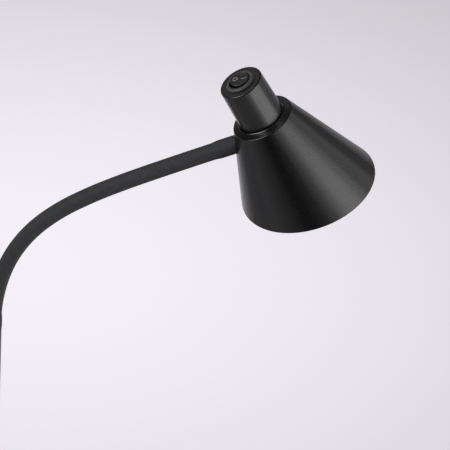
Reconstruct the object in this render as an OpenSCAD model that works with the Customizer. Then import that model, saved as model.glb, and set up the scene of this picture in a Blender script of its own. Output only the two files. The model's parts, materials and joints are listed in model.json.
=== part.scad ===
// Floor lamp with a round weighted base, a pole in three sections, a gooseneck that stays
// where it is bent, and a cone shade with a rocker switch on top of its lamp cup.
// The origin is on the floor under the pole, Z is up and X points from the pole to the head.

/* [Base] */
// Diameter of the round base
base_d = 230; // [200:5:280]
// Height of the base's top above the floor
base_h = 24; // [23:0.5:32]
// Fall of the base's top from its middle to its rolled edge
base_crown = 3; // [1:0.5:4]
// Radius of the rolled edge of the base cover
base_edge_r = 5; // [3:0.5:7]
// Sheet thickness of the base cover
base_wall = 1.2; // [0.8:0.1:1.6]
// Thickness of the foam pad that the base stands on
pad_t = 2; // [1:0.5:3]
// Distance from the rim of the base in to the rim of the pad
pad_inset = 5; // [3:0.5:12]
// Thickness of the cast weight's disc
weight_t = 14; // [13:0.5:15]
// Diameter of the weight's boss that the cover is clamped on
boss_d = 44; // [38:1:70]
// Diameter of the pocket under the weight for the nut
pocket_d = 30; // [28:1:36]
// Depth of the pocket under the weight
pocket_h = 13; // [12:0.5:15]
// Width and height of the cable channel under the weight
channel_w = 8; // [7:0.5:9]
// Diameter of the cable grommet's bore
grommet_bore_d = 6.5; // [5:0.25:7]
// Wall of the cable grommet round its bore
grommet_wall = 1.2; // [0.8:0.1:1.6]
// Height and thickness of the cable grommet's flanges
grommet_flange = 1.3; // [1:0.1:1.6]

/* [Pole] */
// Outer diameter of the pole
pole_d = 14; // [13:0.5:18]
// Wall of the pole tube
pole_wall = 1.2; // [0.8:0.1:1.4]
// Length of each of the three pole sections
section_len = 360; // [250:5:420]
// Chamfer round the ends of the pole sections
pole_seam = 0.4; // [0.2:0.1:0.6]
// Length of the plugs in the pole
plug_len = 40; // [30:1:60]
// Diameter of the threaded studs of the pole foot and of the gooseneck
stud_d = 10; // [9:0.25:10.5]
// Diameter of the way through the studs and plugs for the lead
lead_bore_d = 6; // [4:0.25:6.5]
// Diameter of the collar at the pole's foot
collar_d = 34; // [28:1:42]
// Height of the collar at the pole's foot
collar_h = 11; // [7:0.5:18]
// Height of the straight foot of the collar
collar_foot_h = 2.5; // [1.5:0.1:3]
// Wall of the collar round the pole at its top
collar_lip = 1.6; // [1:0.1:2]
// Width across the flats of the foot nut
foot_nut_w = 17; // [16:0.5:19]
// Thickness of the foot nut
foot_nut_t = 6; // [4:0.5:7]
// Diameter of the foot washer
washer_d = 22; // [20:0.5:26]
// Thickness of the foot washer
washer_t = 1.6; // [1:0.1:2]

/* [Gooseneck] */
// Diameter of the gooseneck
neck_d = 13.2; // [11.4:0.2:13.2]
// Length of each of the gooseneck's nine links
link_len = 31.8; // [26:0.2:38]
// Turn of each link in degrees, from the pole to the head
link_turns = [8, 9, 12, 13, 10, 5, 2.5, 0.5, 0.5]; // [0.5:0.5:16]
// Outer diameter of the ferrules at both ends of the gooseneck
ferrule_d = 14.3; // [14.3:0.1:16]
// Length of the ferrules
ferrule_len = 12.5; // [10:0.5:18]
// Length of the taper at the ferrules' mouths
ferrule_taper = 4; // [2:0.5:5]
// Thickness of the ferrules' lip round the gooseneck
ferrule_lip = 0.25; // [0.2:0.05:0.4]
// Depth to which the gooseneck sits in a ferrule
neck_grip = 6.6; // [4:0.2:8]
// Step from the gooseneck's surface in to the balls between its links
ball_step = 0.25; // [0.2:0.05:0.4]
// Length of the stud under the lower ferrule
lower_stud_len = 18; // [10:1:24]

/* [Shade] */
// Radius of the shade at the fold round its top
shade_top_r = 24.5; // [23:0.1:27]
// Radius of the shade at its mouth, on the cone's own axis
shade_mouth_r = 53.2; // [48:0.2:60]
// Depth of the shade from its top fold to its mouth, on its axis
shade_depth = 76.4; // [74:0.2:90]
// Slant of the mouth in degrees, shorter towards the gooseneck
shade_slant = 9.35; // [0:0.05:12]
// Thickness of the shade's sheet
shade_wall = 1; // [0.7:0.05:1.3]
// Radius of the fold between the shade's cone and its top
shade_fold_r = 1.1; // [1.05:0.05:2]
// Height of the rim of the shade's top hole above the fold
shade_rise = 1.8; // [1:0.1:2.5]
// Distance from the shade's top down to the gooseneck's axis
arm_drop = 16.2; // [16:0.1:20]

/* [Lamp cup] */
// Radius of the lamp cup at its top
cup_top_r = 17.2; // [16.6:0.1:17.4]
// Radius of the lamp cup where it passes the shade's top
cup_base_r = 18.2; // [17.8:0.1:18.8]
// Height of the lamp cup above the shade's top
cup_h = 38.7; // [36:0.1:50]
// Depth of the lamp cup below the shade's top
cup_skirt = 6; // [5:0.1:6.4]
// Wall of the lamp cup
cup_wall = 1.2; // [0.9:0.1:1.4]
// Radius of the lamp cup's top edge
cup_edge_r = 0.6; // [0.4:0.1:1]
// Gap between the lamp cup and the rim of the shade's hole
cup_gap = 0.8; // [0.4:0.1:1.2]

/* [Switch] */
// Diameter of the switch's bezel
bezel_d = 23; // [22.5:0.1:25]
// Height of the switch's bezel
bezel_h = 1.9; // [1.4:0.1:2.4]
// Radius of the bezel's outer edge
bezel_edge_r = 1.7; // [0.8:0.1:1.8]
// Diameter of the switch's body in the cup's hole
switch_d = 19.8; // [19.5:0.1:20.4]
// Depth of the switch's body under the cup's top
switch_h = 13; // [11:0.5:15]
// Wall of the switch's body round the rocker
switch_wall = 1.25; // [0.9:0.05:1.4]
// Turn of the switch about the head's axis, in degrees from the gooseneck
switch_turn = -7; // [-90:1:90]
// Tilt of the rocker to either side, in degrees
rocker_tilt = 8; // [5:0.5:10]
// Dip of each half of the rocker's face towards the middle, in degrees
rocker_dip = 4; // [2:0.5:7]
// Radius of the rounded edge of the rocker's face
rocker_edge_r = 0.8; // [0.3:0.1:1.2]
// Gap round the rocker when it is tilted
rocker_gap = 0.6; // [0.4:0.05:0.8]
// Height of the middle of the rocker's face above the cup's top
rocker_face_z = 3.2; // [2.6:0.1:3.6]
// Depth of the rocker's axis below the cup's top
rocker_axis_z = 2; // [1.8:0.1:2.6]
// Diameter of the rocker's trunnions
trunnion_d = 2.4; // [2:0.1:2.6]
// Length of the switch's terminals
terminal_len = 8; // [5:0.5:9]
// Width of the switch's terminals
terminal_w = 4.8; // [3:0.1:6.3]
// Distance between the switch's terminals
terminal_pitch = 8; // [6:0.5:10]

/* [Lamp holder] */
// Height of the lamp holder's top above the shade's top
holder_z = 5; // [4:0.1:6]
// Diameter of the lamp holder
holder_d = 24; // [22:0.5:25]
// Height of the lamp holder
holder_h = 14; // [12:0.5:15]
// Distance between the bulb's two pins
pin_pitch = 10; // [9:0.5:11]
// Diameter of the bulb's pins
pin_d = 4.8; // [4:0.1:5]
// Length of the bulb's pins
pin_len = 7; // [5:0.5:8]
// Width of the bracket's strip
strip_w = 11; // [10:0.5:12]
// Thickness of the bracket's strip
strip_t = 1.5; // [1:0.1:1.8]
// Width across the flats of the arm nut
arm_nut_w = 14; // [13:0.5:14.5]
// Thickness of the arm nut
arm_nut_t = 3.5; // [2.5:0.1:4]
// Diameter of the holder's screws and of the cup's screw
screw_d = 3; // [2.5:0.1:3.5]
// Diameter of the insulated wires in the head
wire_d = 2; // [1.4:0.1:2]

/* [Bulb] */
// Diameter of the bulb's front
bulb_d = 50; // [46:0.5:54]
// Length of the bulb from its foot to its front
bulb_len = 50; // [46:0.5:54]
// Diameter of the bulb's neck
bulb_neck_d = 26; // [22:0.5:28]
// Length of the bulb's neck
bulb_neck_len = 15; // [10:0.5:18]
// Height of the bulb's straight rim
bulb_rim_h = 6; // [4:0.5:9]
// Thickness of the bulb's front lens
lens_t = 1.6; // [1:0.1:2.4]

/* [Fits] */
// Radial clearance of plugs, studs and other fixed fits
fit = 0.05; // [0.03:0.01:0.08]
// Radial clearance of the rocker's trunnions
run_fit = 0.05; // [0.03:0.01:0.08]
// Gap between pieces that move past each other
move_gap = 0.3; // [0.25:0.05:0.4]
// Gap between fixed pieces that lie close to a curved face
seat_gap = 0.15; // [0.1:0.05:0.2]

/* [Hidden] */
$fn = 96;
arc_steps = 6;
far = 400;

LINKS = len(link_turns);

// Base heights and radii
base_r = base_d / 2;
side_top_z = base_h - base_crown - base_edge_r;
grommet_z = (pad_t + side_top_z) / 2;
weight_r = base_r - base_wall - move_gap;
pocket_z = pad_t + pocket_h;
nut_z = pocket_z - washer_t - foot_nut_t;
thread_over = 1;

// Pole heights and radii
pole_r = pole_d / 2;
pole_in_r = pole_r - pole_wall;
pole_top_z = base_h + 3 * section_len;
stud_r = stud_d / 2;
lead_r = lead_bore_d / 2;

// Gooseneck: the heading at each joint is measured up from the horizontal
neck_r = neck_d / 2;
ferrule_r = ferrule_d / 2;
neck_start = [0, pole_top_z + ferrule_len - neck_grip];
function heading(i) = i == 0 ? 90 : heading(i - 1) - link_turns[i - 1];
function link_radius(i) = link_len / (link_turns[i - 1] * PI / 180);
function joint_at(i) = i == 0 ? neck_start : joint_at(i - 1) + link_radius(i)
    * [sin(heading(i - 1)) - sin(heading(i)), cos(heading(i)) - cos(heading(i - 1))];

// Head: its axis leans back over the gooseneck, and its own frame starts at the shade's top
head_lean = heading(LINKS);
shade_run = (shade_mouth_r - shade_top_r) / shade_depth;
wall_run = shade_wall * sqrt(1 + shade_run * shade_run);
function cone_r(depth) = shade_top_r + shade_run * depth;
function cone_in_r(depth) = cone_r(depth) - wall_run;
function cup_r(z) = cup_base_r - (cup_base_r - cup_top_r) * z / cup_h;
function cup_in_r(z) = cup_r(z) - cup_wall;
arm_seat = cone_r(arm_drop + ferrule_r) + seat_gap;
arm_reach = arm_seat + ferrule_len;
head_at = joint_at(LINKS) + arm_reach * [cos(head_lean), sin(head_lean)]
    + arm_drop * [-sin(head_lean), cos(head_lean)];
hole_r = cup_r(shade_rise) + cup_gap;

// Bracket: its shelf lies on the lamp holder, its leg runs down inside the cup and its
// plate takes the arm nut between the cup and the shade
shelf_top = holder_z + strip_t;
leg_x = sqrt(pow(cup_in_r(shelf_top) - seat_gap, 2) - pow(strip_w / 2, 2));
jog_top = -cup_skirt - move_gap;
plate_x = sqrt(pow(cone_in_r(-jog_top) - move_gap, 2) - pow(strip_w / 2, 2));
plate_end = arm_drop + arm_nut_w / 2 + 1.5;
shelf_end = holder_d / 2 - 3;
nipple_end = plate_x - strip_t - arm_nut_t - thread_over;
cup_screw_z = -cup_skirt / 2 - 0.6;
screw_r = screw_d / 2;
head_r = screw_r + 0.75;
holder_screw_x = holder_d / 4;

// Bulb
bulb_top = holder_z - holder_h - move_gap;
bulb_front = bulb_top - bulb_len;
lens_r = bulb_d / 2 - 1.5;

// Switch
bezel_r = bezel_d / 2;
switch_r = switch_d / 2;
rocker_room_r = switch_r - switch_wall;
rocker_top = rocker_face_z + rocker_axis_z;
rocker_r = (rocker_room_r - rocker_gap - (bezel_h + rocker_axis_z) * sin(rocker_tilt))
    / cos(rocker_tilt);
rocker_depth = 3;
rocker_room_h = rocker_axis_z + rocker_depth + rocker_r * sin(rocker_tilt) + move_gap;
terminal_t = 0.8;
wire_sides = 8;
wire_side = 43;

black = [0.07, 0.07, 0.075];
steel = [0.62, 0.63, 0.65];

// Points of the arc that rounds the corner b between a and c
function unit(v) = v / norm(v);
function turn_between(a, b) = let (d = b - a) d > 180 ? d - 360 : d < -180 ? d + 360 : d;
function corner(a, b, c, r) = r <= 0 ? [b] :
    let (u = unit(a - b), v = unit(c - b), half = acos(u * v) / 2,
         mid = b + unit(u + v) * r / sin(half),
         p = b + u * r / tan(half) - mid, q = b + v * r / tan(half) - mid,
         start = atan2(p.y, p.x), sweep = turn_between(start, atan2(q.y, q.x)))
    [for (k = [0:arc_steps]) mid + r * [cos(start + sweep * k / arc_steps),
                                        sin(start + sweep * k / arc_steps)]];
// Outline through the points [x, y, radius], each corner rounded by its own radius
function rounded(points) = let (n = len(points), xy = [for (p = points) [p.x, p.y]])
    [for (i = [0:n - 1]) each corner(xy[(i + n - 1) % n], xy[i], xy[(i + 1) % n], points[i].z)];

module revolve(points) {
    rotate_extrude() polygon(rounded(points));
}

module tube(outer_r, inner_r, h) {
    difference() {
        cylinder(r = outer_r, h = h);
        translate([0, 0, -1]) cylinder(r = inner_r, h = h + 2);
    }
}

// A nut with its corners chamfered on both sides
module hex_nut(width, bore_r, h) {
    flat_r = width / 2;
    fall = h / 2 * tan(30);
    difference() {
        intersection() {
            cylinder(r = flat_r / cos(30), h = h, $fn = 6);
            revolve([[0, 0, 0], [flat_r, 0, 0], [flat_r + h / 2, fall, 0],
                     [flat_r + h / 2, h - fall, 0], [flat_r, h, 0], [0, h, 0]]);
        }
        translate([0, 0, -1]) cylinder(r = bore_r, h = h + 2);
    }
}

// The head's own frame: Z along its axis to the switch, X away from the gooseneck
module in_head() {
    translate([head_at.x, 0, head_at.y]) rotate([0, -head_lean, 0]) children();
}

// Along the gooseneck's last stretch in the head's frame: Z runs from the head's axis out
// to the gooseneck, so the ferrule and its nut are turned parts about it
module along_arm() {
    translate([0, 0, -arm_drop]) rotate([0, -90, 0]) children();
}

module in_switch() {
    in_head() translate([0, 0, cup_h]) rotate([0, 0, switch_turn]) children();
}

// Solid cone inside a shade surface that lies inset from the outer one, measured radially
module cone_solid(inset) {
    translate([0, 0, -shade_depth])
        cylinder(r1 = cone_r(shade_depth) - inset, r2 = cone_r(0) - inset, h = shade_depth);
}

module base_pad() {
    color([0.12, 0.12, 0.12]) cylinder(r = base_r - pad_inset, h = pad_t);
}

module base_weight() {
    boss_top = base_h - base_wall;
    color([0.3, 0.3, 0.31]) difference() {
        union() {
            translate([0, 0, pad_t]) cylinder(r = weight_r, h = weight_t);
            translate([0, 0, pad_t]) cylinder(d = boss_d, h = boss_top - pad_t);
        }
        cylinder(r = stud_r + fit, h = far);
        translate([0, 0, pad_t - 1]) cylinder(d = pocket_d, h = pocket_h + 1);
        translate([-base_r, -channel_w / 2, pad_t - 1])
            cube([base_r, channel_w, grommet_z + channel_w / 2 - pad_t + 1]);
        translate([-base_r, 0, grommet_z]) rotate([0, 90, 0])
            cylinder(r = grommet_bore_d / 2 + grommet_wall + grommet_flange + move_gap,
                     h = base_wall + grommet_flange + 2 * move_gap);
    }
}

module base_cover() {
    inner_edge = base_edge_r - base_wall;
    color(black) difference() {
        revolve([[stud_r + fit, base_h, 0], [boss_d / 2, base_h, 0],
                 [base_r - base_edge_r, base_h - base_crown, 0],
                 [base_r, base_h - base_crown, base_edge_r], [base_r, pad_t, 0],
                 [base_r - base_wall, pad_t, 0],
                 [base_r - base_wall, base_h - base_crown - base_wall, inner_edge],
                 [base_r - base_edge_r, base_h - base_crown - base_wall, 0],
                 [boss_d / 2, base_h - base_wall, 0], [stud_r + fit, base_h - base_wall, 0]]);
        translate([-base_r - 1, 0, grommet_z]) rotate([0, 90, 0])
            cylinder(r = grommet_bore_d / 2 + grommet_wall + fit, h = base_wall + 2);
    }
}

module cable_grommet() {
    bore_r = grommet_bore_d / 2;
    neck = bore_r + grommet_wall;
    rim = neck + grommet_flange;
    waist = base_wall + 2 * seat_gap;
    length = waist + 2 * grommet_flange;
    color([0.06, 0.06, 0.06])
        translate([-base_r - seat_gap - grommet_flange, 0, grommet_z]) rotate([0, 90, 0])
            revolve([[bore_r, 0, 0], [rim, 0, grommet_flange / 2], [rim, grommet_flange, 0],
                     [neck, grommet_flange, 0], [neck, grommet_flange + waist, 0],
                     [rim, grommet_flange + waist, 0], [rim, length, grommet_flange / 2],
                     [bore_r, length, 0]]);
}

module foot_stud() {
    bottom = nut_z - thread_over;
    color(steel) difference() {
        union() {
            translate([0, 0, bottom]) cylinder(r = stud_r, h = base_h - bottom);
            translate([0, 0, base_h]) cylinder(r = pole_in_r - fit, h = plug_len / 2);
        }
        cylinder(r = lead_r, h = far);
    }
}

module foot_washer() {
    color(steel) translate([0, 0, pocket_z - washer_t])
        tube(washer_d / 2, stud_r + fit, washer_t);
}

module foot_nut() {
    color(steel) translate([0, 0, nut_z]) hex_nut(foot_nut_w, stud_r + fit, foot_nut_t);
}

module base_collar() {
    inner = pole_r + fit;
    lip = pole_r + collar_lip;
    waist = [lip + collar_lip, (collar_foot_h + collar_h) / 2, 4];
    color(black) translate([0, 0, base_h])
        revolve([[inner, 0, 0], [collar_d / 2, 0, 0], [collar_d / 2, collar_foot_h, 1], waist,
                 [lip, collar_h, 0.6], [inner, collar_h, 0]]);
}

module pole_section(k) {
    end_r = pole_r - pole_seam;
    color(black) translate([0, 0, base_h + k * section_len])
        revolve([[pole_in_r, 0, 0], [end_r, 0, 0], [pole_r, pole_seam, 0],
                 [pole_r, section_len - pole_seam, 0], [end_r, section_len, 0],
                 [pole_in_r, section_len, 0]]);
}

module pole_lower() {
    pole_section(0);
}

module pole_middle() {
    pole_section(1);
}

module pole_upper() {
    pole_section(2);
}

module pole_coupler(k) {
    color(steel) translate([0, 0, base_h + k * section_len - plug_len / 2])
        tube(pole_in_r - fit, lead_r, plug_len);
}

module pole_coupler_lower() {
    pole_coupler(1);
}

module pole_coupler_upper() {
    pole_coupler(2);
}

module neck_socket() {
    color(steel) translate([0, 0, pole_top_z - plug_len / 2])
        tube(pole_in_r - fit, stud_r + fit, plug_len / 2);
}

// A ferrule stands on its stud with the gooseneck's end gripped in its mouth, which tapers
// down to the gooseneck
module ferrule(stud_len) {
    mouth_r = neck_r + seat_gap;
    difference() {
        union() {
            revolve([[0, 0, 0], [ferrule_r, 0, 0.3], [ferrule_r, ferrule_len - ferrule_taper, 8],
                     [mouth_r + ferrule_lip, ferrule_len, 0.1], [0, ferrule_len, 0]]);
            translate([0, 0, -stud_len]) cylinder(r = stud_r, h = stud_len + 1);
        }
        translate([0, 0, -far / 2]) cylinder(r = lead_r, h = far);
        translate([0, 0, ferrule_len - neck_grip - seat_gap])
            cylinder(r = mouth_r, h = neck_grip + 1);
    }
}

module lower_ferrule() {
    color(black) translate([0, 0, pole_top_z]) ferrule(lower_stud_len);
}

// One link is an arc of the gooseneck with a ball at its upper end and a cup at its lower
// end, so the chain bends at the ball centres as the steel hose inside it does. The last
// arc runs on into the upper ferrule
module neck_link(i) {
    centre = joint_at(i - 1) + link_radius(i) * [sin(heading(i - 1)), -cos(heading(i - 1))];
    low = joint_at(i - 1);
    high = joint_at(i);
    run_on = i < LINKS ? 0 : link_turns[i - 1] * neck_grip / link_len;
    color([0.1, 0.1, 0.105]) difference() {
        union() {
            translate([centre.x, 0, centre.y]) rotate([90, 0, 0])
                rotate([0, 0, heading(i) + 90 - run_on])
                    rotate_extrude(angle = link_turns[i - 1] + run_on)
                        translate([link_radius(i), 0]) circle(r = neck_r);
            if (i < LINKS) translate([high.x, 0, high.y]) sphere(r = neck_r - ball_step);
        }
        if (i > 1) translate([low.x, 0, low.y]) sphere(r = neck_r + move_gap);
    }
}

module upper_ferrule() {
    color(black) in_head() along_arm() translate([0, 0, arm_seat])
        ferrule(arm_seat - nipple_end);
}

// Wedge washers let the straight nut and ferrule sit on both sides of the slanted sheet
module saddle_washer() {
    color([0.05, 0.05, 0.05]) in_head() difference() {
        along_arm() tube(ferrule_r, stud_r + fit, arm_seat);
        cone_solid(-seat_gap / 2);
    }
}

module inner_saddle() {
    color(steel) in_head() intersection() {
        along_arm() translate([0, 0, plate_x]) tube(arm_nut_w / 2, stud_r + fit, far);
        cone_solid(wall_run + seat_gap / 2);
    }
}

module arm_nut() {
    color(steel) in_head() along_arm() translate([0, 0, plate_x - strip_t - arm_nut_t])
        rotate([0, 0, 30]) hex_nut(arm_nut_w, stud_r + fit, arm_nut_t);
}

module holder_bracket() {
    color(steel) in_head() difference() {
        translate([0, strip_w / 2, 0]) rotate([90, 0, 0]) linear_extrude(strip_w)
            polygon([[shelf_end, holder_z], [shelf_end, shelf_top], [-leg_x, shelf_top],
                     [-leg_x, jog_top], [-plate_x, jog_top], [-plate_x, -plate_end],
                     [-plate_x + strip_t, -plate_end], [-plate_x + strip_t, jog_top - strip_t],
                     [-leg_x + strip_t, jog_top - strip_t], [-leg_x + strip_t, holder_z]]);
        along_arm() cylinder(r = stud_r + fit, h = far);
        for (side = [-1, 1]) translate([side * holder_screw_x, 0, 0])
            cylinder(r = screw_r + fit, h = far);
        translate([0, 0, cup_screw_z]) rotate([0, -90, 0]) cylinder(r = screw_r + fit, h = leg_x + 1);
    }
}

module shade() {
    low = 2 * shade_depth;
    color(black) in_head() difference() {
        revolve([[hole_r, shade_rise, shade_wall / 2 - 0.1], [shade_top_r, 0, shade_fold_r],
                 [cone_r(low), -low, 0], [cone_in_r(low), -low, 0],
                 [cone_in_r(shade_wall), -shade_wall, shade_fold_r - shade_wall],
                 [hole_r, shade_rise - shade_wall, shade_wall / 2 - 0.1]]);
        translate([0, 0, -shade_depth]) rotate([0, shade_slant, 0])
            translate([-far, -far, -2 * far]) cube(2 * far);
        along_arm() cylinder(r = stud_r + fit, h = far);
    }
}

module lamp_cup() {
    color(black) in_head() difference() {
        revolve([[switch_r + fit, cup_h, 0], [cup_r(cup_h), cup_h, cup_edge_r],
                 [cup_r(-cup_skirt), -cup_skirt, 0], [cup_in_r(-cup_skirt), -cup_skirt, 0],
                 [cup_in_r(cup_h - cup_wall), cup_h - cup_wall, 0],
                 [switch_r + fit, cup_h - cup_wall, 0]]);
        translate([0, 0, cup_screw_z]) rotate([0, -90, 0])
            cylinder(r = screw_r + fit, h = 2 * cup_base_r);
    }
}

module cup_screw() {
    seat = cup_r(cup_screw_z) + seat_gap;
    tip = leg_x - strip_t - thread_over;
    color(steel) in_head() translate([0, 0, cup_screw_z]) rotate([0, -90, 0]) {
        translate([0, 0, seat]) cylinder(r = head_r, h = screw_r);
        translate([0, 0, tip]) cylinder(r = screw_r, h = seat + 0.5 - tip);
    }
}

module lamp_holder() {
    bottom = holder_z - holder_h;
    color([0.9, 0.88, 0.84]) in_head() difference() {
        revolve([[0, bottom, 0], [holder_d / 2, bottom, 1], [holder_d / 2, holder_z, 1.5],
                 [0, holder_z, 0]]);
        for (side = [-1, 1]) {
            translate([0, side * pin_pitch / 2, bottom - 1])
                cylinder(r = pin_d / 2 + seat_gap, h = pin_len + 2);
            translate([side * holder_screw_x, 0, holder_z - 2 * screw_d])
                cylinder(r = screw_r + fit, h = far);
        }
    }
}

module holder_screws() {
    color(steel) in_head() for (side = [-1, 1]) translate([side * holder_screw_x, 0, shelf_top]) {
        cylinder(r = head_r, h = screw_r);
        translate([0, 0, -strip_t - screw_d]) cylinder(r = screw_r, h = strip_t + screw_d + 0.5);
    }
}

module bulb_body() {
    rim_top = bulb_front + bulb_rim_h;
    neck_low = bulb_top - bulb_neck_len;
    color([0.93, 0.93, 0.92]) in_head() {
        revolve([[0, bulb_front + lens_t, 0], [lens_r + fit, bulb_front + lens_t, 0],
                 [lens_r + fit, bulb_front, 0], [bulb_d / 2, bulb_front, 0.5],
                 [bulb_d / 2, rim_top, 4], [bulb_neck_d / 2 + 1, neck_low, 12],
                 [bulb_neck_d / 2, bulb_top - 4, 2], [bulb_neck_d / 2 - 3, bulb_top, 0],
                 [0, bulb_top, 0]]);
        for (side = [-1, 1]) translate([0, side * pin_pitch / 2, bulb_top - 1])
            cylinder(d = pin_d, h = pin_len + 1);
    }
}

module bulb_lens() {
    color([0.95, 0.95, 0.9]) in_head() translate([0, 0, bulb_front])
        cylinder(r = lens_r, h = lens_t);
}

module switch_housing() {
    axis_z = -rocker_axis_z;
    color([0.05, 0.05, 0.055]) in_switch() difference() {
        revolve([[0, -switch_h, 0], [switch_r, -switch_h, 0.5], [switch_r, 0, 0],
                 [bezel_r, 0, 0], [bezel_r, bezel_h, min(bezel_edge_r, bezel_h - 0.1)],
                 [rocker_room_r, bezel_h, 0.6],
                 [rocker_room_r, -rocker_room_h, 0], [0, -rocker_room_h, 0]]);
        translate([0, -switch_r - 1, axis_z]) rotate([-90, 0, 0])
            cylinder(r = trunnion_d / 2 + run_fit, h = switch_d + 2);
        for (side = [-1, 1])
            translate([side * terminal_pitch / 2, 0, -switch_h])
                cube([terminal_t + 2 * fit, terminal_w + 2 * fit, 6], center = true);
    }
}

// The rocker is turned to its on side: the far half is down and the near half stands up
module rocker() {
    rise = rocker_r * tan(rocker_dip);
    color([0.06, 0.06, 0.065]) in_switch() translate([0, 0, -rocker_axis_z])
        rotate([0, rocker_tilt, 0]) {
            intersection() {
                revolve([[0, -far, 0], [rocker_r, -far, 0],
                         [rocker_r, rocker_top + rise, rocker_edge_r],
                         [0, rocker_top + rise, 0]]);
                translate([0, rocker_r, 0]) rotate([90, 0, 0]) linear_extrude(2 * rocker_r)
                    polygon([[-rocker_r, rocker_top + rise], [0, rocker_top],
                             [rocker_r, rocker_top + rise],
                             [rocker_r, 0], [0, -rocker_depth], [-rocker_r, 0]]);
            }
            translate([0, -switch_r + move_gap, 0]) rotate([-90, 0, 0])
                cylinder(d = trunnion_d, h = switch_d - 2 * move_gap);
        }
}

module switch_terminals() {
    color([0.8, 0.68, 0.4]) in_switch() for (side = [-1, 1])
        translate([side * terminal_pitch / 2 - terminal_t / 2, -terminal_w / 2,
                   -switch_h - terminal_len])
            cube([terminal_t, terminal_w, terminal_len + 2.5]);
}

// A wire is a tube swept along its points, with a ring of corners square to it at each
function wire_way(points, k) = unit(points[min(k + 1, len(points) - 1)] - points[max(k - 1, 0)]);
function wire_ring(points, k) = let (way = wire_way(points, k), side = unit(cross(way, [0.3, 1, 0.2])),
    up = cross(side, way))
    [for (j = [0:wire_sides - 1]) points[k] + wire_d / 2
        * (side * cos(360 * j / wire_sides) + up * sin(360 * j / wire_sides))];

module wire(points) {
    last = len(points) - 1;
    corners = [for (k = [0:last]) each wire_ring(points, k)];
    walls = [for (k = [0:last - 1], j = [0:wire_sides - 1]) let (m = (j + 1) % wire_sides)
        each [[k * wire_sides + j, k * wire_sides + m, (k + 1) * wire_sides + m],
              [k * wire_sides + j, (k + 1) * wire_sides + m, (k + 1) * wire_sides + j]]];
    ends = [[for (j = [wire_sides - 1:-1:0]) j], [for (j = [0:wire_sides - 1]) last * wire_sides + j]];
    polyhedron(corners, concat(walls, ends));
}

// The live wire runs from the gooseneck's stud to the switch, the neutral wire to the lamp
// holder, and the switched wire from the switch down to the lamp holder
module head_wires() {
    blade_z = cup_h - switch_h - terminal_len - seat_gap;
    blade = terminal_pitch / 2 * [cos(switch_turn), sin(switch_turn)];
    room_r = (cup_in_r(shelf_top) + holder_d / 2) / 2;
    side = room_r * [-cos(wire_side), sin(wire_side)];
    bore_x = -nipple_end - 1;
    bend_x = -nipple_end + wire_d;
    face_y = strip_w / 2 + wire_d;
    entry = holder_z + seat_gap;
    color([0.25, 0.16, 0.1]) in_head() {
        wire([[-blade.x, -blade.y, blade_z], [-blade.x, -blade.y, blade_z - wire_d],
              [side.x, side.y, holder_z + wire_d], [side.x, side.y, -cup_skirt],
              [bend_x, wire_d * 1.5, -arm_drop], [bore_x, wire_d * 0.6, -arm_drop]]);
        wire([[side.x / 2, -face_y, entry], [side.x / 2, -face_y, entry + wire_d],
              [side.x, -side.y, holder_z + wire_d], [side.x, -side.y, -cup_skirt],
              [bend_x, -wire_d * 1.5, -arm_drop], [bore_x, -wire_d * 0.6, -arm_drop]]);
        wire([[blade.x, blade.y, blade_z], [blade.x, blade.y, blade_z - wire_d],
              [blade.x + wire_d, -face_y, entry + wire_d], [blade.x + wire_d, -face_y, entry]]);
    }
}

base_pad();
base_weight();
base_cover();
cable_grommet();
foot_stud();
foot_washer();
foot_nut();
base_collar();
pole_lower();
pole_middle();
pole_upper();
pole_coupler_lower();
pole_coupler_upper();
neck_socket();
lower_ferrule();
for (i = [1:LINKS]) neck_link(i);
upper_ferrule();
saddle_washer();
inner_saddle();
arm_nut();
holder_bracket();
shade();
lamp_cup();
cup_screw();
lamp_holder();
holder_screws();
bulb_body();
bulb_lens();
switch_housing();
rocker();
switch_terminals();
head_wires();
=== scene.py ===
import json
import math
import bmesh
import bpy
from mathutils import Matrix, Quaternion, Vector


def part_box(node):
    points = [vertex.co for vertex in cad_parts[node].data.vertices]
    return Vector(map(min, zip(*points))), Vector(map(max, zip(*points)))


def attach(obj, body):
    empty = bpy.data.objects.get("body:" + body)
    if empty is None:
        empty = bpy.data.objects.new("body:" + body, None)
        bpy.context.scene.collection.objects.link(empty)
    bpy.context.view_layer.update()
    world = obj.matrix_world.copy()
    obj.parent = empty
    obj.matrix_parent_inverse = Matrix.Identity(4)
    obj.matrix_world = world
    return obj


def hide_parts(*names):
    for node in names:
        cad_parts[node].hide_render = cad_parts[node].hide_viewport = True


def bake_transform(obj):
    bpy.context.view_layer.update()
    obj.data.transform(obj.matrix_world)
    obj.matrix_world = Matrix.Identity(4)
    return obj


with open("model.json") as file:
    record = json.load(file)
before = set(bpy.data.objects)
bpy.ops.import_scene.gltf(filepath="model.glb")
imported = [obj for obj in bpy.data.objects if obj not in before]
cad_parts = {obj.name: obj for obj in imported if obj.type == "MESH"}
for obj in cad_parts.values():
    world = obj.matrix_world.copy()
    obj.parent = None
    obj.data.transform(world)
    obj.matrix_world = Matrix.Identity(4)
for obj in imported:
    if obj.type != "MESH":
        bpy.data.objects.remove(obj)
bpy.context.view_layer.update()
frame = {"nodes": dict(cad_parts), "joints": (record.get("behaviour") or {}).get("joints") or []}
nodes = frame["nodes"]

# Camera
# A long lens looks down on the head from the front, rolled a little to the right, so that the
# head fills the right half of the picture and the gooseneck runs out at the left edge.
sensor_width = 36.0
camera_lens = 260.6
camera_distance = 2.5772
camera_reach = 100.0
camera_azimuth = math.radians(0.011)
camera_elevation = math.radians(42.447)
camera_roll = math.radians(5.009)
camera_aim = Vector((0.18194, 0.0, 1.23858))


def way_to(azimuth, elevation):
    """The unit vector towards a place at these angles, counted from the lamp's front."""
    return Vector((math.sin(azimuth) * math.cos(elevation),
                   -math.cos(azimuth) * math.cos(elevation), math.sin(elevation)))


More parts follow.
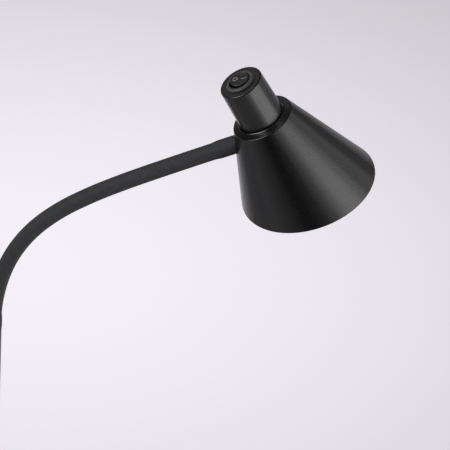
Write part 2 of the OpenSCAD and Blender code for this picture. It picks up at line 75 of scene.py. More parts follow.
def add_object(name, data):
    """A new object in the scene that shows this mesh, curve, light or camera."""
    made = bpy.data.objects.new(name, data)
    bpy.context.scene.collection.objects.link(made)
    return made


camera_back = way_to(camera_azimuth, camera_elevation)
camera = add_object("camera", bpy.data.cameras.new("camera"))
camera.data.sensor_width = sensor_width
camera.data.lens = camera_lens
camera.data.clip_end = camera_reach
camera.location = camera_aim + camera_back * camera_distance
camera.rotation_mode = "QUATERNION"
camera.rotation_quaternion = (camera_back.to_track_quat("Z", "Y")
                              @ Quaternion((0, 0, 1), camera_roll))
bpy.context.scene.camera = camera
bpy.context.scene.view_settings.view_transform = "Standard"

# Base pad
# A disc of closed-cell foam glued under the base, so that the steel cover doesn't scratch the
# floor. Its skin is matt and shows the small burst cells of the cut sheet.
foam_dark = (0.016, 0.016, 0.017, 1)
foam_light = (0.034, 0.034, 0.036, 1)
foam_rough = (0.8, 0.95)
foam_cell = 0.0009
foam_depth = foam_cell / 4
foam_strength = 0.5

# The Mix node has sockets of the same name for each kind of data. These are its colours.
mix_low = 6
mix_high = 7
mix_result = 2


def add_node(tree, kind, inputs=None, **settings):
    """A node with its settings, and with its inputs set to values or linked to sockets."""
    made = tree.nodes.new(kind)
    for name, value in settings.items():
        setattr(made, name, value)
    for name, value in (inputs or {}).items():
        if isinstance(value, bpy.types.NodeSocket):
            tree.links.new(value, made.inputs[name])
        else:
            made.inputs[name].default_value = value
    return made


def new_material(name):
    """A material with nothing in it yet, and the node tree that its shader goes into."""
    made = bpy.data.materials.new(name)
    made.use_nodes = True
    made.node_tree.nodes.clear()
    return made, made.node_tree


def finish_material(tree, inputs):
    """Puts the Principled shader with these inputs on the material's output."""
    shader = add_node(tree, "ShaderNodeBsdfPrincipled", inputs)
    add_node(tree, "ShaderNodeOutputMaterial", {"Surface": shader.outputs["BSDF"]})


def between(tree, factor, low, high):
    """A colour between two colours, or a number between two numbers, by a factor from 0 to 1."""
    if isinstance(low, float):
        return add_node(tree, "ShaderNodeMapRange",
                        {"Value": factor, "To Min": low, "To Max": high}).outputs["Result"]
    return add_node(tree, "ShaderNodeMix", {0: factor, mix_low: low, mix_high: high},
                    data_type="RGBA").outputs[mix_result]


def dress(material, *names):
    """The CAD nodes of these names take this material."""
    for name in names:
        for place in nodes[name].material_slots:
            place.material = material


def foam():
    """The foam's skin, with a dent for each cell."""
    made, tree = new_material("foam_pad")
    place = add_node(tree, "ShaderNodeTexCoord").outputs["Object"]
    cells = add_node(tree, "ShaderNodeTexVoronoi",
                     {"Vector": place, "Scale": 1 / foam_cell}).outputs["Distance"]
    bump = add_node(tree, "ShaderNodeBump",
                    {"Height": cells, "Strength": foam_strength, "Distance": foam_depth})
    finish_material(tree, {"Base Color": between(tree, cells, foam_dark, foam_light),
                           "Roughness": between(tree, cells, *foam_rough),
                           "Normal": bump.outputs["Normal"]})
    return made


dress(foam(), "base_pad")

# Base weight
# A disc of cast iron that fills the cover and keeps the lamp from tipping. It is used as cast,
# with a sandy skin, and the cover hides it.
iron_dark = (0.045, 0.045, 0.047, 1)
iron_light = (0.11, 0.11, 0.115, 1)
iron_rough = (0.75, 0.55)
iron_grain = {"grain": 0.0012, "ripple": 0.006, "strength": 0.6, "depth": 0.0004}
iron_metallic = 0.6
grain_detail = 3.0
grain_share = 0.35
tone_low = 0.12
tone_high = 0.4


def reckon(tree, operation, *values):
    """The result of a Math node on these numbers or sockets."""
    return add_node(tree, "ShaderNodeMath", dict(enumerate(values)),
                    operation=operation).outputs[0]


def grain_group():
    """Fine grain and broad ripple of a moulded, cast or coated skin, in object space."""
    group = bpy.data.node_groups.new("skin_grain", "ShaderNodeTree")
    sizes = ("Grain size", "Ripple size")
    for name in sizes:
        group.interface.new_socket(name, in_out="INPUT", socket_type="NodeSocketFloat")
    for name in ("Tone", "Height"):
        group.interface.new_socket(name, in_out="OUTPUT", socket_type="NodeSocketFloat")
    given = add_node(group, "NodeGroupInput").outputs
    place = add_node(group, "ShaderNodeTexCoord").outputs["Object"]
    fine, broad = [add_node(group, "ShaderNodeTexNoise",
                            {"Vector": place, "Scale": reckon(group, "DIVIDE", 1.0, given[name]),
                             "Detail": grain_detail}).outputs["Fac"] for name in sizes]
    tone = add_node(group, "ShaderNodeMapRange",
                    {"Value": reckon(group, "MULTIPLY", fine, broad),
                     "From Min": tone_low, "From Max": tone_high}).outputs["Result"]
    height = reckon(group, "MULTIPLY_ADD", fine, grain_share, broad)
    add_node(group, "NodeGroupOutput", {"Tone": tone, "Height": height})
    return group


skin_grain = grain_group()


def skin(tree, grain, ripple, strength, depth):
    """The grain's tone and a bump normal made from its height."""
    made = add_node(tree, "ShaderNodeGroup", {"Grain size": grain, "Ripple size": ripple},
                    node_tree=skin_grain)
    bump = add_node(tree, "ShaderNodeBump", {"Height": made.outputs["Height"],
                                             "Strength": strength, "Distance": depth})
    return made.outputs["Tone"], bump.outputs["Normal"]


def grained(name, deep, light, rough, grain, metallic=0.0, specular=0.5):
    """A material whose colour, roughness and bump follow the grain of its skin."""
    made, tree = new_material(name)
    tone, normal = skin(tree, **grain)
    finish_material(tree, {"Base Color": between(tree, tone, deep, light),
                           "Roughness": between(tree, tone, *rough), "Metallic": metallic,
                           "Specular IOR Level": specular, "Normal": normal})
    return made


dress(grained("cast_weight", iron_dark, iron_light, iron_rough, iron_grain,
              metallic=iron_metallic), "base_weight")

# Base cover
# A pressed steel cover with a low crown and a rolled edge. All the lamp's black sheet metal has
# this satin powder coat, which flows out to a soft ripple with a very fine grain.
coat_deep = (0.0011, 0.0012, 0.0012, 1)
coat_light = (0.0021, 0.0022, 0.0022, 1)
coat_rough = (0.24, 0.29)
coat_grain = {"grain": 0.00025, "ripple": 0.0016, "strength": 0.03, "depth": 0.00006}
coat_specular = 0.42

coat = grained("black_coat", coat_deep, coat_light, coat_rough, coat_grain,
               specular=coat_specular)
dress(coat, "base_cover")

# Cable grommet
# A soft rubber bush snapped into the hole in the back of the cover, which keeps the lead off
# the steel edge.
rubber_dark = (0.006, 0.006, 0.006, 1)
rubber_light = (0.012, 0.012, 0.0125, 1)
rubber_rough = (0.62, 0.75)
rubber_grain = {"grain": 0.0003, "ripple": 0.002, "strength": 0.2, "depth": 0.00008}

rubber = grained("black_rubber", rubber_dark, rubber_light, rubber_rough, rubber_grain)
dress(rubber, "cable_grommet")

# Foot stud, washer and nut
# Zinc-plated steel. The hollow stud stands in the pole's foot and the nut under the weight
# draws pole, cover and weight together.
zinc_dark = (0.36, 0.37, 0.39, 1)
zinc_light = (0.62, 0.63, 0.65, 1)
zinc_rough = (0.42, 0.28)
zinc_grain = {"grain": 0.0004, "ripple": 0.003, "strength": 0.15, "depth": 0.00004}

steel = grained("steel", zinc_dark, zinc_light, zinc_rough, zinc_grain, metallic=1.0)
dress(steel, "foot_stud", "foot_washer", "foot_nut")

# Base collar
# A turned steel ring, coated like the cover. It is slipped over the pole and hides the clamped
# foot.
dress(coat, "base_collar")

# Pole
# Three coated steel tubes, joined by plated plugs. A threaded insert in the top of the upper
# tube takes the gooseneck.
dress(coat, "pole_lower", "pole_middle", "pole_upper")
dress(steel, "pole_coupler_lower", "pole_coupler_upper", "neck_socket")

# Lower ferrule
# A turned and coated steel end piece. It is screwed into the pole's insert by its hollow stud
# and grips the gooseneck in its mouth.
dress(coat, "lower_ferrule")

# Gooseneck
# A wound steel hose that stays where it is bent, in a smooth matt sleeve shrunk on over it. The
# sleeve swells over the ferrules. Its lower end stops just short of the pole, and its upper end
# is cut on the slant over the wedge washer at the head.
sleeve_radius = 0.0066
sleeve_sides = 72
sleeve_ring = 0.0012
sleeve_over = 0.0058
neck_end = Vector((0.171147, 0.0, 1.316315))
least_turn = 1e-6
ferrule_cover = 0.0124
cuff_radius = 0.00724
cuff_length = 0.009
cuff_swell = 0.0085
cuff_edge = 0.0004
cuff_edge_share = 0.8
cuff_edge_steps = 4
cuff_slant = 0.0037
sharp_angle = math.radians(40)
sleeve_dark = (0.034, 0.035, 0.0366, 1)
sleeve_light = (0.048, 0.0495, 0.0516, 1)
sleeve_rough = (0.62, 0.72)
sleeve_grain = {"grain": 0.0003, "ripple": 0.004, "strength": 0.12, "depth": 0.00008}
sleeve_specular = 0.14


def start_tree(name, sizes):
    """A geometry tree with inputs for a source, these sizes and a skin, and their sockets."""
    tree = bpy.data.node_groups.new(name, "GeometryNodeTree")
    inputs = {"Geometry": "NodeSocketGeometry", **sizes, "Skin": "NodeSocketMaterial"}
    for label, kind in inputs.items():
        tree.interface.new_socket(label, in_out="INPUT", socket_type=kind)
    tree.interface.new_socket("Geometry", in_out="OUTPUT", socket_type="NodeSocketGeometry")
    return tree, add_node(tree, "NodeGroupInput").outputs


def end_tree(tree, made, material):
    """Ends a geometry tree in a real mesh with its material."""
    real = add_node(tree, "GeometryNodeRealizeInstances", {"Geometry": made})
    skinned = add_node(tree, "GeometryNodeSetMaterial",
                       {"Geometry": real.outputs["Geometry"], "Material": material})
    add_node(tree, "NodeGroupOutput", {"Geometry": skinned.outputs["Geometry"]})


def sleeve_tree():
    """A round sleeve swept along a curve by the curve's own radius, closed at both ends."""
    tree, given = start_tree("sleeve_on_path", {"Sides": "NodeSocketInt"})
    ring = add_node(tree, "GeometryNodeCurvePrimitiveCircle",
                    {"Resolution": given["Sides"], "Radius": 1.0})
    radius = add_node(tree, "GeometryNodeInputRadius").outputs["Radius"]
    swept = add_node(tree, "GeometryNodeCurveToMesh",
                     {"Curve": given["Geometry"], "Profile Curve": ring.outputs["Curve"],
                      "Scale": radius, "Fill Caps": True})
    end_tree(tree, swept.outputs["Mesh"], given["Skin"])
    return tree


def stand_piece(name, mesh):
    """An object at the origin for a finished mesh, shaded smooth up to the sharp angle."""
    mesh.shade_smooth()
    mesh.set_sharp_from_angle(angle=sharp_angle)
    return add_object(name, mesh)


def grow(name, source, tree, values):
    """The plain mesh object that a geometry tree makes from a source, which is used up."""
    modifier = source.modifiers.new("grow", "NODES")
    modifier.node_group = tree
    for item in tree.interface.items_tree:
        if item.in_out == "INPUT" and item.name in values:
            modifier[item.identifier] = values[item.name]
    evaluated = source.evaluated_get(bpy.context.evaluated_depsgraph_get())
    mesh = bpy.data.meshes.new_from_object(evaluated)
    mesh.name = name
    source.modifiers.clear()
    bpy.data.objects.remove(source)
    return stand_piece(name, mesh)


def way_at(heading):
    """The unit vector at this heading above the level, in the plane that the neck lies in."""
    return Vector((math.cos(heading), 0, math.sin(heading)))


def arc_points(start, end, heading):
    """Points on the arc from start to end that leaves at this heading, and its end heading."""
    chord = end - start
    turn = 2 * (math.atan2(chord.z, chord.x) - heading)
    length = chord.length
    if abs(turn) > least_turn:
        length *= turn / 2 / math.sin(turn / 2)
    steps = max(2, round(length / sleeve_ring))
    points = [start]
    for k in range(steps):
        points.append(points[-1] + way_at(heading + turn * (k + 0.5) / steps) * length / steps)
    return points, heading + turn


def sleeve_path(stops):
    """The sleeve's line from end to end by way of these stops, the places in it that lie midway
    between stops, and the heading at its end."""
    place = Vector((0, 0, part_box("neck_link_1")[0].z))
    heading = math.pi / 2
    edge = [cuff_edge * step / cuff_edge_steps for step in range(cuff_edge_steps + 1)]
    path = [place - Vector((0, 0, sleeve_over - reach)) for reach in edge]
    steps = round((sleeve_over - cuff_edge) / sleeve_ring)
    path += [path[-1].lerp(place, step / steps) for step in range(1, steps + 1)]
    middles = []
    for stop in stops:
        points, heading = arc_points(place, stop, heading)
        middles.append(len(path) + len(points) // 2 - 1)
        path += points[1:]
        place = points[-1]
    along = way_at(heading)
    straight = ferrule_cover - cuff_edge
    steps = round(straight / sleeve_ring)
    path += [place + along * straight * step / steps for step in range(1, steps + 1)]
    path += [place + along * (ferrule_cover - rest) for rest in edge[-2::-1]]
    return path, middles, heading


def sleeve_swell(reach):
    """The sleeve's radius at this distance from its nearer end."""
    share = min(max((cuff_length + cuff_swell - reach) / cuff_swell, 0.0), 1.0)
    swell = (cuff_radius - sleeve_radius) * share * share * (3 - 2 * share)
    edge = 1.0 - min(reach / cuff_edge, 1.0)
    rounding = cuff_edge * (1 - math.sqrt(1 - edge * edge)) * cuff_edge_share
    return sleeve_radius + swell - rounding


def sleeve_line(places, radii):
    """A curve through these places that carries the sleeve's radius at each."""
    line = bpy.data.curves.new("sleeve_path", "CURVE")
    line.dimensions = "3D"
    spline = line.splines.new("POLY")
    spline.points.add(len(places) - 1)
    for point, place, radius in zip(spline.points, places, radii):
        point.co = (*place, 1)
        point.radius = radius
    return add_object("sleeve_path", line)


def slant_end(mesh, end, heading):
    """Draws the sleeve's end out along its heading, by nothing below and by the slant above."""
    along = way_at(heading)
    above = way_at(heading + math.pi / 2)
    for corner in mesh.vertices:
        place = corner.co - end
        share = min(max(1 + place.dot(along) / cuff_length, 0.0), 1.0)
        corner.co += along * share * cuff_slant * (1 + place.dot(above) / cuff_radius) / 2


def gooseneck():
    """The sleeve in one stretch for each joint, from mid-link to mid-link and bent across it."""
    tree = sleeve_tree()
    sleeve_matt = grained("neck_sleeve", sleeve_dark, sleeve_light, sleeve_rough, sleeve_grain,
                          specular=sleeve_specular)
    bends = [joint for joint in frame["joints"] if joint["name"].startswith("neck_")]
    stops = [Vector(joint["pos_m"]) for joint in bends] + [neck_end]
    path, middles, heading = sleeve_path(stops)
    run = [0.0]
    for low, high in zip(path, path[1:]):
        run.append(run[-1] + (high - low).length)
    radii = [sleeve_swell(min(reach, run[-1] - reach)) for reach in run]
    for k, joint in enumerate(bends):
        at_head = k == len(bends) - 1
        first = middles[k] if k else 0
        stop = len(path) if at_head else middles[k + 1] + 1
        piece = grow(f"neck_sleeve_{k + 1}", sleeve_line(path[first:stop], radii[first:stop]),
                     tree, {"Sides": sleeve_sides, "Skin": sleeve_matt})
        stood_for = [f"neck_link_{k + 1}"]
        if at_head:
            slant_end(piece.data, path[-1], heading)
            stood_for.append(f"neck_link_{k + 2}")
        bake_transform(piece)
        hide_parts(*stood_for)


gooseneck()

# Upper ferrule and saddle washer
# The same end piece at the head. A wedge washer of black rubber lets it sit square on the
# slanted sheet.
dress(coat, "upper_ferrule")
dress(rubber, "saddle_washer")

# Inner saddle, arm nut and holder bracket
# Inside the shade a steel wedge and a thin nut clamp the gooseneck's stud, and with it the bent
# strip that carries the lamp holder and the cup.
dress(steel, "inner_saddle", "arm_nut", "holder_bracket")

# Shade
# A spun steel cone with a folded top and a slanted mouth, coated black outside and white inside,
# with the top of the inner wall left black as painted shade.
# The edge of its top hole is turned up to a fine lip.
head_at = Vector((0.203138, 0.0, 1.353028))
head_lean = math.radians(29.5)
shade_top_r = 0.0245
shade_mouth_r = 0.0532
shade_depth = 0.0764
shade_wall = 0.001
rim_outline = ((0.01898, 0.0015), (0.01898, 0.00194), (0.01902, 0.00206), (0.01912, 0.00211),
               (0.01922, 0.00208), (0.0193, 0.00202), (0.01968, 0.00174), (0.01985, 0.00163),
               (0.0199, 0.0014))
rim_sides = 160
black_wall_share = 0.8
# The inner wall stays black down to this depth. This is painted shade that keeps the gap round
# the cup dark.
painted_shade_depth = 0.018
white_deep = (0.74, 0.735, 0.72, 1)
white_light = (0.82, 0.815, 0.8, 1)


def two_tone_coat():
    """The black coat, and the white one on the inner wall below a band of painted shade at the
    shade's top.
    """
    made, tree = new_material("shade_coat")
    tone, normal = skin(tree, **coat_grain)
    place = add_node(tree, "ShaderNodeTexCoord").outputs["Object"]
    in_head = add_node(tree, "ShaderNodeMapping",
                       {"Vector": place, "Location": head_at, "Rotation": (0, -head_lean, 0)},
                       vector_type="TEXTURE")
    part = add_node(tree, "ShaderNodeSeparateXYZ", {0: in_head.outputs["Vector"]}).outputs
    flat = add_node(tree, "ShaderNodeCombineXYZ", {"X": part["X"], "Y": part["Y"]})
    radius = add_node(tree, "ShaderNodeVectorMath", {0: flat.outputs[0]}, operation="LENGTH")
    flare = (shade_mouth_r - shade_top_r) / shade_depth
    seam = reckon(tree, "MULTIPLY_ADD", part["Z"], -flare,
                  shade_top_r - shade_wall * black_wall_share)
    inside = reckon(tree, "LESS_THAN", radius.outputs["Value"], seam)
    # Painted shade: above this depth the inner wall keeps the black coat.
    under_painted_shade = reckon(tree, "LESS_THAN", part["Z"], -painted_shade_depth)
    colour = between(tree, reckon(tree, "MULTIPLY", inside, under_painted_shade),
                     between(tree, tone, coat_deep, coat_light),
                     between(tree, tone, white_deep, white_light))
    finish_material(tree, {"Base Color": colour, "Roughness": between(tree, tone, *coat_rough),
                           "Specular IOR Level": coat_specular, "Normal": normal})
    return made


def full_turn(sides):
    """The angles of this many even steps round a circle."""
    return [2 * math.pi * j / sides for j in range(sides)]


def ring_shape(rings, closed):
    """Faces between rings of corners in a row that is closed on itself or filled at its ends."""
    shape = bmesh.new()
    corners = [[shape.verts.new(place) for place in ring] for ring in rings]
    for low, high in zip(corners, corners[1:] + corners[:1] if closed else corners[1:]):
        for j in range(len(low)):
            k = (j + 1) % len(low)
            shape.faces.new((low[j], low[k], high[k], high[j]))
    if not closed:
        shape.faces.new(corners[0])
        shape.faces.new(corners[-1])
    return shape


def turned_ring(outline):
    """A closed ring turned about the Z axis from an outline of radii and heights."""
    return ring_shape([[(r * math.cos(a), r * math.sin(a), z) for a in full_turn(rim_sides)]
                       for r, z in outline], closed=True)


def placed_piece(name, shape, place, material):
    """The finished piece of a shape that was made in the frame that place stands for."""
    bmesh.ops.recalc_face_normals(shape, faces=shape.faces)
    shape.transform(place)
    mesh = bpy.data.meshes.new(name)
    shape.to_mesh(mesh)
    shape.free()
    mesh.materials.append(material)
    return stand_piece(name, mesh)


dress(two_tone_coat(), "shade")
head_frame = Matrix.Translation(head_at) @ Matrix.Rotation(-head_lean, 4, "Y")
rim = placed_piece("shade_rim", turned_ring(rim_outline), head_frame, coat)
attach(rim, "head")

# Lamp cup and its screw
# A spun steel cup, coated like the shade, that stands in the shade's top hole over the lamp
# holder. Spinning leaves a soft round edge at its top, and one screw through its skirt holds it
# on the bracket.
cup_height = 0.0387
cup_top_r = 0.0172
cup_edge = 0.0006
cup_edge_slack = 0.05
cup_soft_edge = 0.0013
cup_weld = 1e-7


def soft_cup():
    """The cup's own form with its top edge eased from its plain rounding to a softer one."""
    mesh = nodes["lamp_cup"].data.copy()
    normals = [corner.vector.copy() for corner in mesh.corner_normals]
    shape = bmesh.new()
    shape.from_mesh(mesh)
    bmesh.ops.remove_doubles(shape, verts=shape.verts, dist=cup_weld)
    shape.transform(head_frame.inverted())
    easing = cup_soft_edge - cup_edge
    for corner in shape.verts:
        radius = math.hypot(corner.co.x, corner.co.y)
        out = (radius - cup_top_r) / cup_edge + 1
        rise = (corner.co.z - cup_height) / cup_edge + 1
        if min(out, rise) > -cup_edge_slack:
            pull = 1 + easing * (out - 1) / radius
            corner.co.x *= pull
            corner.co.y *= pull
            corner.co.z += easing * (rise - 1)
    shape.transform(head_frame)
    shape.to_mesh(mesh)
    shape.free()
    mesh.normals_split_custom_set(normals)
    mesh.materials.clear()
    mesh.materials.append(coat)
    return mesh


cup = add_object("cup_shell", soft_cup())
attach(cup, "head")
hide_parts("lamp_cup")
dress(steel, "cup_screw")

# Lamp holder and its screws
# A twist-lock holder of off-white ceramic with a dry, slightly uneven skin. It hangs under the
# bracket's shelf on two screws.
ceramic_deep = (0.62, 0.6, 0.54, 1)
ceramic_light = (0.8, 0.78, 0.72, 1)
ceramic_rough = (0.5, 0.62)
ceramic_grain = {"grain": 0.0005, "ripple": 0.003, "strength": 0.2, "depth": 0.0001}

dress(grained("holder_ceramic", ceramic_deep, ceramic_light, ceramic_rough, ceramic_grain),
      "lamp_holder")
dress(steel, "holder_screws")

# Bulb
# A twist-lock spot bulb: a satin white body with a frosted lens set in its front. The lens is
# moulded with a field of low six-sided facets that spread the light.
lens_front = -0.0593
lens_radius = 0.0235
lens_border = 0.0012
facet_sides = 6
facet_radius = 0.0025
facet_top = 0.0016
facet_height = 0.0006
facet_sunk = 0.0001
facet_rows = 8
bulb_deep = (0.72, 0.72, 0.71, 1)
bulb_light = (0.82, 0.82, 0.81, 1)
bulb_rough = (0.34, 0.42)
bulb_grain = {"grain": 0.0003, "ripple": 0.003, "strength": 0.08, "depth": 0.00006}
lens_deep = (0.7, 0.71, 0.7, 1)
lens_light = (0.86, 0.87, 0.86, 1)
lens_rough = (0.3, 0.4)
lens_grain = {"grain": 0.0002, "ripple": 0.002, "strength": 0.2, "depth": 0.0001}


def facet_tree():
    """A low facet on every point of a mesh, with its foot up and its flat top down."""
    tree, given = start_tree("lens_facets", {"Sides": "NodeSocketInt",
                                             "Foot radius": "NodeSocketFloat",
                                             "Top radius": "NodeSocketFloat",
                                             "Height": "NodeSocketFloat"})
    facet = add_node(tree, "GeometryNodeMeshCone",
                     {"Vertices": given["Sides"], "Radius Top": given["Foot radius"],
                      "Radius Bottom": given["Top radius"], "Depth": given["Height"]})
    spread = add_node(tree, "GeometryNodeInstanceOnPoints",
                      {"Points": given["Geometry"], "Instance": facet.outputs["Mesh"]})
    end_tree(tree, spread.outputs["Instances"], given["Skin"])
    return tree


def facet_places():
    """The middles of the six-sided cells that lie whole on the lens, in the head's frame."""
    pitch = math.sqrt(3) * facet_radius
    rows = range(-facet_rows, facet_rows + 1)
    flat = [(i * pitch * math.cos(math.pi / 6), (j + i / 2) * pitch) for i in rows for j in rows]
    reach = lens_radius - lens_border - facet_radius
    return [(x, y, lens_front - facet_height + facet_sunk) for x, y in flat
            if math.hypot(x, y) <= reach]


dress(grained("bulb_white", bulb_deep, bulb_light, bulb_rough, bulb_grain), "bulb_body")
frosted = grained("bulb_lens", lens_deep, lens_light, lens_rough, lens_grain)
dress(frosted, "bulb_lens")
facet_points = bpy.data.meshes.new("facet_points")
facet_points.from_pydata(facet_places(), [], [])
facets = grow("lens_facets", add_object("facet_points", facet_points), facet_tree(),
              {"Sides": facet_sides, "Foot radius": facet_radius, "Top radius": facet_top,
               "Height": facet_height, "Skin": frosted})
facets.data.transform(head_frame)
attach(facets, "head")

# Switch
# A round snap-in rocker switch in the cup's flat top, moulded in black plastic with a fine
# spark-eroded grain. The rocker's face is dished and soft at its edge, and its O and I are
# raised and printed pale.
switch_turn = math.radians(-7)
rocker_axis = 0.002
rocker_tilt = math.radians(8)
rocker_radius = 0.00758
rocker_middle = 0.0052
rocker_dip = math.tan(math.radians(4))
rocker_valley = 0.003
rocker_edge = 0.0008
rocker_keel = 0.003
rocker_keel_shares = (1.0, 0.8, 0.5, 0.2)
rocker_sides = 96
rocker_face_rows = 16
rocker_edge_rows = 8
mark_place = 0.00335
mark_half_height = 0.00008
mark_sides = 8
ring_radius = 0.00175
ring_half_width = 0.00026
ring_steps = 48
bar_half_length = 0.0021
bar_half_width = 0.00026
bar_first = math.radians(177.096774)
bar_last = math.radians(11.612903)
bar_steps = 24
bezel_deep = (0.05, 0.05, 0.0515, 1)
bezel_light = (0.062, 0.062, 0.0638, 1)
bezel_rough = (0.42, 0.5)
plastic_deep = (0.006, 0.006, 0.0063, 1)
plastic_light = (0.0105, 0.0105, 0.011, 1)
plastic_rough = (0.26, 0.33)
plastic_grain = {"grain": 0.00018, "ripple": 0.0012, "strength": 0.15, "depth": 0.00005}
plastic_specular = 0.45
print_deep = (0.32, 0.32, 0.325, 1)
print_light = (0.4, 0.4, 0.405, 1)
print_rough = (0.5, 0.6)
print_grain = {"grain": 0.00015, "ripple": 0.0008, "strength": 0.1, "depth": 0.00003}


def face_height(x):
    """Height of the rocker's dished face above its axis."""
    return rocker_middle + rocker_dip * (rocker_radius + math.hypot(x, rocker_valley)
                                         - math.hypot(rocker_radius, rocker_valley))


def rocker_shape():
    """The rocker from the middle of its face, over its soft edge and down to its keel."""
    turns = full_turn(rocker_sides)
    flat = rocker_radius - rocker_edge
    rows = [(flat * (k + 0.5) / rocker_face_rows, 0.0) for k in range(rocker_face_rows)]
    for k in range(rocker_edge_rows + 1):
        bend = math.pi / 2 * k / rocker_edge_rows
        rows.append((flat + rocker_edge * math.sin(bend), rocker_edge * (1 - math.cos(bend))))
    rings = [[(r * math.cos(a), r * math.sin(a), face_height(r * math.cos(a)) - fall)
              for a in turns] for r, fall in rows]
    for share in rocker_keel_shares:
        r = rocker_radius * share
        rings.append([(r * math.cos(a), r * math.sin(a),
                       -rocker_keel * (1 - share * abs(math.cos(a)))) for a in turns])
    return ring_shape(rings, closed=False)


def ring_mark():
    """The O, a low round bead that follows the face."""
    rings = []
    for a in full_turn(ring_steps):
        ring = []
        for b in full_turn(mark_sides):
            r = ring_radius + ring_half_width * math.cos(b)
            x = r * math.cos(a) - mark_place
            ring.append((x, r * math.sin(a), face_height(x) + mark_half_height * math.sin(b)))
        rings.append(ring)
    return ring_shape(rings, closed=True)


def bar_mark():
    """The I, a low straight bead that follows the face, with rows that crowd at its ends."""
    rings = []
    for j in range(bar_steps + 1):
        along = math.cos(bar_first + (bar_last - bar_first) * j / bar_steps)
        wide = min(1.0, math.sqrt(1 - along * along) * bar_half_length / bar_half_width)
        x = mark_place + bar_half_length * along
        rings.append([(x, wide * bar_half_width * math.cos(b),
                       face_height(x) + wide * mark_half_height * math.sin(b))
                      for b in full_turn(mark_sides)])
    return ring_shape(rings, closed=False)


dress(grained("switch_bezel", bezel_deep, bezel_light, bezel_rough, plastic_grain,
              specular=plastic_specular), "switch_housing")
plastic = grained("switch_black", plastic_deep, plastic_light, plastic_rough, plastic_grain,
                  specular=plastic_specular)
rocker_frame = (head_frame @ Matrix.Translation((0, 0, cup_height))
                @ Matrix.Rotation(switch_turn, 4, "Z")
                @ Matrix.Translation((0, 0, -rocker_axis)) @ Matrix.Rotation(rocker_tilt, 4, "Y"))
rocker = placed_piece("switch_rocker", rocker_shape(), rocker_frame, plastic)
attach(rocker, "rocker")
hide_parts("rocker")
pale_print = grained("pale_print", print_deep, print_light, print_rough, print_grain)
for name, shape in (("mark_off", ring_mark()), ("mark_on", bar_mark())):
    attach(placed_piece(name, shape, rocker_frame, pale_print), "rocker")

# Switch terminals and wires
# Brass blades under the switch, and the short insulated wires from the gooseneck to switch and
# lamp holder.
brass_deep = (0.5, 0.37, 0.16, 1)
brass_light = (0.74, 0.58, 0.3, 1)
brass_rough = (0.4, 0.26)
wire_deep = (0.1, 0.055, 0.03, 1)
wire_light = (0.15, 0.085, 0.05, 1)
wire_rough = (0.45, 0.55)
wiring_grain = {"grain": 0.0003, "ripple": 0.002, "strength": 0.1, "depth": 0.00004}

dress(grained("terminal_brass", brass_deep, brass_light, brass_rough, wiring_grain,
              metallic=1.0), "switch_terminals")
dress(grained("wire_insulation", wire_deep, wire_light, wire_rough, wiring_grain), "head_wires")

# Studio
# A wide pale floor under an even light, in a dim room with soft boxes and cards round the head:
# the large ones at the right and at the left, the weak ones in front, low down and behind. The
# boxes light the lamp alone, and the floor glows a little more behind the gooseneck.
floor_radius = 14.0
floor_sides = 96
floor_pale = (0.8, 0.785, 0.82, 1)
floor_rough = 0.9
floor_specular = 0.1
floor_strength = 0.9
floor_softness = math.radians(60)
glow_bright = (0.6108, 0.5822, 0.6304, 1)
glow_dim = (0.1509, 0.1438, 0.1557, 1)
glow_centre = (-0.090, 1.241, 0.0)
glow_turn = math.radians(1.1)
glow_reach = (0.961, 0.737, 1.0)
room_front = (0.045, 0.044, 0.047, 1)
room_back = (0.135, 0.133, 0.14, 1)
lit_head = Vector((0.22, 0.0, 1.33))
lit_distance = 2.0
box_tint = (1.0, 0.99, 1.0)

# Each box has its azimuth, elevation, width and height in degrees, and its radiance.
soft_boxes = (("right_box", 68.75, 6, 57.5, 54, 2.75),
              ("right_band", 67.5, 24, 30, 18, 1.8),
              ("right_card", 67.5, -3, 30, 36, 0.68),
              ("side_box", 112.5, 15, 30, 36, 1.02),
              ("side_card", 135, 15, 15, 36, 0.18),
              ("front_box", 37.5, -12, 30, 18, 1.2),
              ("front_band", 30, 24, 15, 18, 1.13),
              ("front_card", 15, 15, 15, 36, 0.22),
              ("low_card", -26, -30, 97, 18, 0.23),
              ("left_box", -67.5, 33, 30, 36, 6.6),
              ("high_box", -120, 60, 15, 18, 3.5),
              ("back_box", -148, 25, 40, 30, 0.34))


def pale_floor():
    """The floor's matt pale colour, with a glow that is seen but lights nothing."""
    made, tree = new_material("pale_floor")
    place = add_node(tree, "ShaderNodeTexCoord").outputs["Object"]
    sweep = add_node(tree, "ShaderNodeMapping",
                     {"Vector": place, "Location": glow_centre, "Rotation": (0, 0, glow_turn),
                      "Scale": glow_reach}, vector_type="TEXTURE").outputs["Vector"]
    away = add_node(tree, "ShaderNodeVectorMath", {0: sweep, 1: sweep}, operation="DOT_PRODUCT")
    share = reckon(tree, "EXPONENT", reckon(tree, "MULTIPLY", away.outputs["Value"], -1.0))
    path = add_node(tree, "ShaderNodeLightPath").outputs
    seen = path["Is Camera Ray"]
    for ray in ("Is Glossy Ray", "Is Transmission Ray"):
        seen = reckon(tree, "MAXIMUM", seen, path[ray])
    glow = add_node(tree, "ShaderNodeEmission",
                    {"Color": between(tree, share, glow_dim, glow_bright), "Strength": seen})
    matt = add_node(tree, "ShaderNodeBsdfPrincipled",
                    {"Base Color": floor_pale, "Roughness": floor_rough,
                     "Specular IOR Level": floor_specular})
    both = add_node(tree, "ShaderNodeAddShader",
                    {0: matt.outputs["BSDF"], 1: glow.outputs["Emission"]})
    add_node(tree, "ShaderNodeOutputMaterial", {"Surface": both.outputs["Shader"]})
    return made


def studio_floor():
    """A wide round floor that the lamp stands on."""
    mesh = bpy.data.meshes.new("floor")
    shape = bmesh.new()
    bmesh.ops.create_circle(shape, cap_ends=True, segments=floor_sides, radius=floor_radius)
    shape.to_mesh(mesh)
    shape.free()
    mesh.materials.append(pale_floor())
    made = add_object("floor", mesh)
    return made


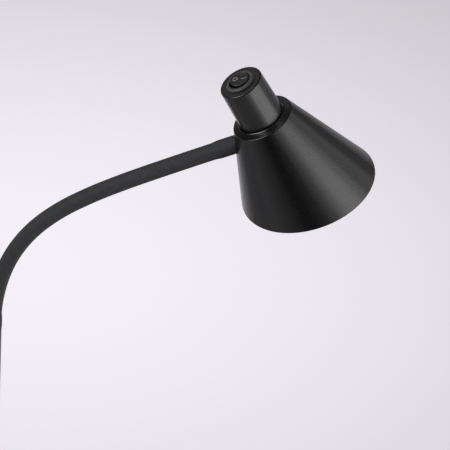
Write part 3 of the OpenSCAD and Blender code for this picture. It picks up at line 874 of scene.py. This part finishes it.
def studio_room():
    """The dim room, a little paler behind the lamp than in front of it."""
    world = bpy.data.worlds.new("room")
    bpy.context.scene.world = world
    world.use_nodes = True
    tree = world.node_tree
    tree.nodes.clear()
    way = add_node(tree, "ShaderNodeTexCoord").outputs["Generated"]
    back = add_node(tree, "ShaderNodeSeparateXYZ", {0: way}).outputs["Y"]
    share = add_node(tree, "ShaderNodeMapRange",
                     {"Value": back, "From Min": -1.0, "From Max": 1.0}).outputs["Result"]
    sky = add_node(tree, "ShaderNodeBackground",
                   {"Color": between(tree, share, room_front, room_back)})
    add_node(tree, "ShaderNodeOutputWorld", {"Surface": sky.outputs["Background"]})


def floor_set(floor, state):
    """A set that holds only the floor, for a light that falls on it alone or not at all."""
    chosen = bpy.data.collections.new("floor_set")
    chosen.objects.link(floor)
    chosen.collection_objects[0].light_linking.link_state = state
    return chosen


def floor_light(receivers):
    """A broad even light that falls straight down on these receivers."""
    lamp = bpy.data.lights.new("floor_light", "SUN")
    lamp.energy = floor_strength
    lamp.angle = floor_softness
    light = add_object("floor_light", lamp)
    light.light_linking.receiver_collection = receivers


def soft_box(receivers, name, azimuth, elevation, wide, tall, radiance):
    """A soft box that looks at the head, placed and sized by angles counted from the front."""
    away = way_to(math.radians(azimuth), math.radians(elevation))
    lamp = bpy.data.lights.new(name, "AREA")
    lamp.shape = "RECTANGLE"
    lamp.size = 2 * lit_distance * math.tan(math.radians(wide / 2))
    lamp.size_y = 2 * lit_distance * math.tan(math.radians(tall / 2))
    lamp.energy = radiance * math.pi * lamp.size * lamp.size_y
    lamp.color = box_tint
    box = add_object(name, lamp)
    box.location = lit_head + away * lit_distance
    box.rotation_mode = "QUATERNION"
    box.rotation_quaternion = (-away).to_track_quat("-Z", "Y")
    box.visible_camera = False
    box.light_linking.receiver_collection = receivers


studio_room()
floor = studio_floor()
floor_light(floor_set(floor, "INCLUDE"))
all_but_floor = floor_set(floor, "EXCLUDE")
for row in soft_boxes:
    soft_box(all_but_floor, *row)
